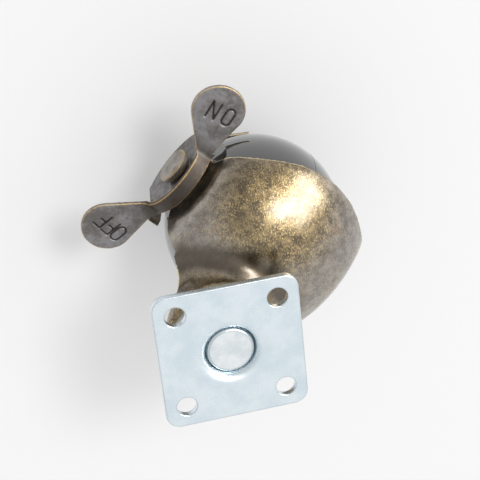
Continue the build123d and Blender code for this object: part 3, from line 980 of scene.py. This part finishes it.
@dataclass(frozen=True)
class BallRow:
    """A ring of loose bearing balls in a track, made by a Geometry Nodes tree."""

    node: str
    name: str
    track_r: float
    ball_r: float
    count: int
    height: float

    def build(self, material: bpy.types.Material) -> bpy.types.Object:
        """Make the balls as one plain mesh that rides on the plate.

        Args:
            material: The balls' finish.

        Returns:
            The row of balls.
        """
        tree = self._tree()
        holder = bpy.data.objects.new(self.name, bpy.data.meshes.new(self.name))
        bpy.context.scene.collection.objects.link(holder)
        modifier = holder.modifiers.new("row", "NODES")
        modifier.node_group = tree
        values = {
            "Track Radius": self.track_r,
            "Ball Radius": self.ball_r,
            "Count": self.count,
            "Height": self.height,
            "Finish": material,
        }
        for item in tree.interface.items_tree:
            if item.item_type == "SOCKET" and item.name in values:
                modifier[item.identifier] = values[item.name]
        depsgraph = bpy.context.evaluated_depsgraph_get()
        plain = bpy.data.meshes.new_from_object(holder.evaluated_get(depsgraph))
        holder.modifiers.remove(modifier)
        holder.data = plain
        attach(holder, Body.PLATE.value)
        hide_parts(self.node)
        LOG.info("%s: %d balls, %d faces", self.name, self.count, len(plain.polygons))
        return holder

    def _tree(self) -> bpy.types.NodeTree:
        """Build the tree: a circle of points, a ball on each, made real and given its finish.

        Returns:
            The Geometry Nodes tree.
        """
        tree = bpy.data.node_groups.new(f"{self.name}_tree", "GeometryNodeTree")
        sockets = {
            "Track Radius": "NodeSocketFloat",
            "Ball Radius": "NodeSocketFloat",
            "Count": "NodeSocketInt",
            "Height": "NodeSocketFloat",
            "Finish": "NodeSocketMaterial",
        }
        for name, kind in sockets.items():
            tree.interface.new_socket(name, in_out="INPUT", socket_type=kind)
        tree.interface.new_socket("Geometry", in_out="OUTPUT", socket_type="NodeSocketGeometry")
        add = partial(add_node, tree)
        sizes = add("NodeGroupInput").outputs
        circle = add("GeometryNodeMeshCircle", inputs={
            "Vertices": sizes["Count"], "Radius": sizes["Track Radius"],
        })
        lift = add("ShaderNodeCombineXYZ", inputs={"Z": sizes["Height"]})
        row = add("GeometryNodeTransform", inputs={"Geometry": circle, "Translation": lift})
        ball = add("GeometryNodeMeshUVSphere", inputs={
            "Segments": 32, "Rings": 18, "Radius": sizes["Ball Radius"],
        })
        balls = add("GeometryNodeInstanceOnPoints", inputs={"Points": row, "Instance": ball})
        real = add("GeometryNodeRealizeInstances", inputs={"Geometry": balls})
        smooth = add("GeometryNodeSetShadeSmooth", inputs={"Geometry": real})
        finished = add("GeometryNodeSetMaterial", inputs={
            "Geometry": smooth, "Material": sizes["Finish"],
        })
        add("NodeGroupOutput", inputs={"Geometry": finished})
        return tree


@dataclass
class PlateAssembly(Assembly):
    """The top plate, its kingpin, and the races and balls that the hood turns on."""

    plate_mesh: tuple[float, float, int] = (0.24, 0.3, 3)
    pin_mesh: tuple[float, float, int] = (0.16, 0.2, 3)
    race_mesh: tuple[float, float, int] = (0.16, 0.16, 2)
    track_row: BallRow = BallRow(
        "upper_bearing_balls", "track_balls", 11.8 * MM, 1.6 * MM, count=18, height=-4.86 * MM
    )
    crown_row: BallRow = BallRow(
        "lower_bearing_balls", "crown_balls", 7.3 * MM, 1.2 * MM, count=14, height=-10.94 * MM
    )

    def build(self) -> None:
        """Make the plate, pin, races and both rows of balls."""
        PressedPiece("top_plate", "plate_pressing", *self.plate_mesh).build(
            Body.PLATE, Slot.ZINC_PLATE, ZincPlating().build()
        )
        PressedPiece("kingpin", "kingpin_rivet", *self.pin_mesh).build(
            Body.PLATE, Slot.ZINC_PIN, ZincPin().build()
        )
        race = TurnedSteel().build()
        for node in ("upper_race", "bottom_cup"):
            PressedPiece(node, f"{node}_ring", *self.race_mesh).build(
                Body.PLATE, Slot.RACE_STEEL, race
            )
        steel = BearingSteel().build()
        for row in (self.track_row, self.crown_row):
            row.build(steel)


@dataclass
class HoodAssembly(Assembly):
    """The pressed hood, the races fixed to it, and the axle rivet with its washers."""

    hood_mesh: tuple[float, float, int, int] = (0.32, 0.35, 4, 14)
    race_mesh: tuple[float, float, int] = (0.16, 0.16, 2)
    rivet_mesh: tuple[float, float, int] = (0.16, 0.18, 3)
    washer_mesh: tuple[float, float, int] = (0.13, 0.15, 2)
    rim_corners_mm: tuple[tuple[float, float, float], ...] = (
        (19.3, -7.3, -24.2),
        (-20.1, -5.4, -24.6),
    )
    rim_corner_reach_mm: float = 2.4
    rim_corner_rounds: int = 16
    unworn_reach_mm: float = 4.2

    def build(self) -> None:
        """Make the hood and everything that is fixed to it."""
        hood = PressedPiece("hood", "hood_shell", *self.hood_mesh).build(
            Body.HOOD, Slot.ANTIQUE_BRASS, AntiqueBrass().build()
        )
        self._mark_inside(hood)
        self._ease_corners(hood)
        race = TurnedSteel().build()
        for node in ("lower_race", "crown_race"):
            PressedPiece(node, f"{node}_ring", *self.race_mesh).build(
                Body.HOOD, Slot.RACE_STEEL, race
            )
        rivet = TurnedSteel(
            slot=Slot.RIVET_STEEL,
            steel="#a5a09a",
            stain="#857d73",
            edge="#c9ad7a",
            ring_mm=0.5,
            centre=tuple(BALL_CENTRE),
            turn=AXLE_TURN,
            wear_mm=0.22,
            low_roughness=0.42,
            high_roughness=0.56,
        ).build()
        PressedPiece("axle", "axle_rivet", *self.rivet_mesh).build(
            Body.HOOD, Slot.RIVET_STEEL, rivet
        )
        PressedPiece("end_washer", "rivet_washer", *self.washer_mesh).build(
            Body.HOOD, Slot.RIVET_STEEL, rivet
        )
        bush = BushPlastic().build()
        for node in ("thrust_washer_lever_side", "thrust_washer_far_side"):
            dress_node(node, bush)
        spring = TurnedSteel(
            slot=Slot.SPRING_STEEL,
            steel="#8f8678",
            stain="#5f574b",
            edge="#b79c6c",
            ring_mm=0.3,
            centre=tuple(BALL_CENTRE),
            turn=AXLE_TURN,
        ).build()
        dress_node("spring_washer", spring)

    def _ease_corners(self, hood: bpy.types.Object) -> None:
        """Draw out the small folds where the neck's flare runs into the rim, and spare them wear.

        Args:
            hood: The redrawn hood.
        """
        mesh = hood.data
        points = rows_of(mesh.vertices, "co")
        corners = np.array([hood_place(Vector(corner) * MM) for corner in self.rim_corners_mm])
        away = np.linalg.norm(points[:, None] - corners, axis=2).min(axis=1)
        folds = away < self.rim_corner_reach_mm * MM
        points = smoothed(mesh, points, folds, self.rim_corner_rounds)
        mesh.vertices.foreach_set("co", points.ravel())
        mesh.update()
        keep_wear_off(mesh, away < self.unworn_reach_mm * MM)

    def _mark_inside(self, hood: bpy.types.Object) -> None:
        """Store which points of the hood face the ball, whose colour the finish darkens.

        Args:
            hood: The redrawn hood.
        """
        mesh = hood.data
        outward = rows_of(mesh.vertices, "co") - np.array(BALL_CENTRE)
        facing = np.einsum("ij,ij->i", rows_of(mesh.vertex_normals, "vector"), outward)
        store(mesh, INSIDE_ATTRIBUTE, (facing < 0).astype(float))


@dataclass
class BallWheel(Assembly):
    """The hollow ball with its hub tube and bushes."""

    def build(self) -> None:
        """Dress the ball's shells, its hub tube and its bushes."""
        shell = BlackBall().build()
        for node in ("ball_half_lever_side", "ball_half_far_side"):
            dress_node(node, shell)
        tube = TurnedSteel(centre=tuple(BALL_CENTRE), turn=AXLE_TURN).build()
        dress_node("hub_tube", tube)
        bush = BushPlastic().build()
        for node in ("bush_lever_side", "bush_far_side"):
            dress_node(node, bush)


@dataclass
class BrakeLever(Assembly):
    """The folded foot lever with its band, its two ears and their stamped words."""

    lever_mesh: tuple[float, float, int] = (0.2, 0.3, 3)
    ear_z: float = 7.35 * MM
    ear_slack: float = 0.1 * MM
    letter_depth: float = 0.35 * MM
    letter_reach: float = 1.3
    plate_x: float = 25.5 * MM
    word_centres_mm: tuple[tuple[float, float], ...] = ((6.9, -22.5), (7.3, 22.2))
    word_half_mm: tuple[float, float] = (5.6, 3.9)
    rib_half_mm: tuple[float, float] = (5.0, 11.2)
    rib_x_mm: float = 0.8
    neck_x_mm: float = 1.8
    neck_y_mm: tuple[float, float] = (11.0, 14.0)
    neck_z_mm: float = 5.5
    band_inner_r: float = 11.4 * MM
    band_half_y: float = 15.0 * MM
    band_fade: float = 5.0 * MM

    def build(self) -> None:
        """Make the lever, then mark its letters, its band and what stays unworn."""
        lever = PressedPiece("brake_lever", "lever_pressing", *self.lever_mesh).build(
            Body.LEVER, Slot.AGED_STEEL, AgedSteel().build()
        )
        self._mark(lever)

    def _mark(self, lever: bpy.types.Object) -> None:
        """Store which points lie in a letter or on the band, and spare letters, rib and necks wear.

        Args:
            lever: The redrawn lever.
        """
        mesh = lever.data
        to_lever = (
            Matrix.Rotation(HOOD_TURN, 4, "Z")
            @ Matrix.Translation(BALL_IN_HOOD)
            @ Matrix.Rotation(LEVER_TILT, 4, "X")
        ).inverted()
        turn = np.array(to_lever.to_3x3())
        x, y, z = (rows_of(mesh.vertices, "co") @ turn.T + np.array(to_lever.translation)).T
        in_word = np.zeros(len(mesh.vertices), bool)
        for x_mm, y_mm in self.word_centres_mm:
            off_x = np.abs(x - self.plate_x - x_mm * MM)
            off_y = np.abs(y - y_mm * MM)
            in_word |= (off_x < self.word_half_mm[0] * MM) & (off_y < self.word_half_mm[1] * MM)
        in_word &= z > self.ear_z - self.letter_reach * self.letter_depth
        in_word &= z < self.ear_z + self.ear_slack
        depth = np.clip((self.ear_z - z) / self.letter_depth, 0, 1)
        store(mesh, STAMP_ATTRIBUTE, np.where(in_word, depth, 0.0))
        on_rib = (
            (x > self.plate_x + self.rib_x_mm * MM)
            & (np.abs(y) < self.rib_half_mm[0] * MM)
            & (np.abs(z) < self.rib_half_mm[1] * MM)
        )
        at_neck = (
            (x < self.plate_x + self.neck_x_mm * MM)
            & (np.abs(y) > self.neck_y_mm[0] * MM)
            & (np.abs(y) < self.neck_y_mm[1] * MM)
            & (z > self.neck_z_mm * MM)
        )
        keep_wear_off(mesh, in_word | on_rib | at_neck)
        # Points on the band, which the finish paints darker, partly as painted shade
        radius = np.hypot(y, z)
        on_band = (radius > self.band_inner_r) & (z > 0)
        fade = np.clip((self.band_half_y - np.abs(y)) / self.band_fade, 0, 1)
        store(mesh, BAND_ATTRIBUTE, np.where(on_band, fade, 0.0))


@dataclass
class BrakeShoe(Assembly):
    """The folded spring plate behind the lever, with a finger bent in at each end."""

    plate_mesh: tuple[float, float, int] = (0.16, 0.2, 2)

    def build(self) -> None:
        """Make the shoe plate."""
        steel = TurnedSteel(
            slot=Slot.SPRING_STEEL,
            steel="#837b70",
            stain="#4d463d",
            edge="#b9a57e",
            ring_mm=0.4,
            centre=tuple(BALL_CENTRE),
            turn=AXLE_TURN,
        ).build()
        PressedPiece("brake_shoe", "shoe_plate", *self.plate_mesh).build(
            Body.SHOE, Slot.SPRING_STEEL, steel
        )


@dataclass
class Studio:
    """The white table, the room's light, the soft lights and the camera."""

    floor_z: float = -65.1 * MM
    floor_half: float = 4.0
    floor_colour: str = "#f4f4f4"
    floor_white: float = 0.22
    background: str = "#f6f6f6"
    key_way: tuple[float, float, float] = (-0.29, -0.43, 0.855)
    key_size: tuple[float, float] = (0.55, 0.55)
    key_power: float = 12.0
    gloss_way: tuple[float, float, float] = (-0.664, -0.417, 0.623)
    gloss_size: tuple[float, float] = (0.95, 1.45)
    gloss_power: float = 38.0
    lamp_distance: float = 2.0
    sky_top: float = 1.1
    sky_low: float = 0.74
    sky_way: tuple[float, float, float] = (-0.1, 0.45, 0.89)
    camera_place: tuple[float, float, float] = (0.044877, -0.171315, 0.284161)
    camera_right: tuple[float, float, float] = (-0.97041, 0.0991, 0.22018)
    camera_up: tuple[float, float, float] = (-0.18399, -0.89402, -0.4085)
    camera_back: tuple[float, float, float] = (0.15636, -0.43692, 0.88581)
    lens_mm: float = 97.831
    near_clip: float = 0.01

    def build(self) -> None:
        """Set the table, the lights and the camera."""
        self._floor()
        self._world()
        self._soft_lights()
        self._camera()

    def _floor(self) -> None:
        """Lay the pale table that the ball stands on."""
        half = self.floor_half
        corners = [(-half, -half), (half, -half), (half, half), (-half, half)]
        mesh = bpy.data.meshes.new("table")
        mesh.from_pydata([(x, y, self.floor_z) for x, y in corners], [], [(0, 1, 2, 3)])
        table = bpy.data.objects.new("table", mesh)
        bpy.context.scene.collection.objects.link(table)
        material = bpy.data.materials.new("table_paper")
        material.use_nodes = True
        tree = material.node_tree
        tree.nodes.clear()
        add = partial(add_node, tree)
        paper = add("ShaderNodeBsdfDiffuse", inputs={"Color": colour(self.floor_colour)})
        white = add("ShaderNodeEmission", inputs={"Color": colour(self.background)})
        path = add("ShaderNodeLightPath")
        direct = add(MATH, {"operation": "MAXIMUM"}, {
            0: path.outputs["Is Camera Ray"], 1: path.outputs["Is Glossy Ray"],
        })
        share = add(MATH, MULTIPLY, {0: direct, 1: self.floor_white})
        mixed = add("ShaderNodeMixShader", inputs={0: share, 1: paper, 2: white})
        add("ShaderNodeOutputMaterial", inputs={"Surface": mixed})
        mesh.materials.append(material)

    def _world(self) -> None:
        """Light the room, most from above the plate's face and least from under the ball."""
        world = bpy.data.worlds.new("studio")
        bpy.context.scene.world = world
        world.use_nodes = True
        tree = world.node_tree
        tree.nodes.clear()
        add = partial(add_node, tree)
        way = add(COORDINATES).outputs["Generated"]
        towards = add(VECTOR, {"operation": "DOT_PRODUCT"}, {
            0: way, 1: self.sky_way,
        }).outputs["Value"]
        level = add(MAP, SMOOTH, {
            "Value": towards, "From Min": -0.1, "From Max": 0.75, "To Min": self.sky_low,
            "To Max": self.sky_top,
        })
        room = add("ShaderNodeBackground", inputs={"Strength": level})
        seen = add("ShaderNodeBackground", inputs={"Color": colour(self.background)})
        camera_ray = add("ShaderNodeLightPath").outputs["Is Camera Ray"]
        mixed = add("ShaderNodeMixShader", inputs={0: camera_ray, 1: room, 2: seen})
        add("ShaderNodeOutputWorld", inputs={"Surface": mixed})

    def _soft_lights(self) -> None:
        """Hang the soft box above the hood, and beside it the card that only gloss shows."""
        for name, way, size, power, lights_matt in (
            ("soft_box", self.key_way, self.key_size, self.key_power, True),
            ("gloss_card", self.gloss_way, self.gloss_size, self.gloss_power, False),
        ):
            lamp = bpy.data.lights.new(name, "AREA")
            lamp.shape = "RECTANGLE"
            lamp.size, lamp.size_y = size
            lamp.energy = power
            box = bpy.data.objects.new(name, lamp)
            bpy.context.scene.collection.objects.link(box)
            box.visible_diffuse = lights_matt
            aim = Vector(way)
            box.location = BALL_CENTRE + self.lamp_distance * aim
            box.rotation_euler = aim.to_track_quat("Z", "Y").to_euler()

    def _camera(self) -> None:
        """Place the camera as the photograph's was, above the plate's corner."""
        lens = bpy.data.cameras.new("camera")
        lens.lens = self.lens_mm
        lens.clip_start = self.near_clip
        camera = bpy.data.objects.new("camera", lens)
        bpy.context.scene.collection.objects.link(camera)
        axes = Matrix((self.camera_right, self.camera_up, self.camera_back)).transposed()
        camera.matrix_world = Matrix.Translation(self.camera_place) @ axes.to_4x4()
        bpy.context.scene.camera = camera


def plain(box: Any) -> list[list[float]]:
    return [[float(value) for value in corner] for corner in box]


def main() -> None:
    """Build every sub-assembly and set the studio."""
    logging.basicConfig(level=logging.INFO, format="%(name)s: %(message)s")
    bpy.context.scene.view_settings.view_transform = "Standard"
    for assembly in (PlateAssembly(), HoodAssembly(), BallWheel(), BrakeLever(), BrakeShoe()):
        LOG.info("building %s", type(assembly).__name__)
        assembly.build()
    Studio().build()


if __name__ == "__main__":
    main()
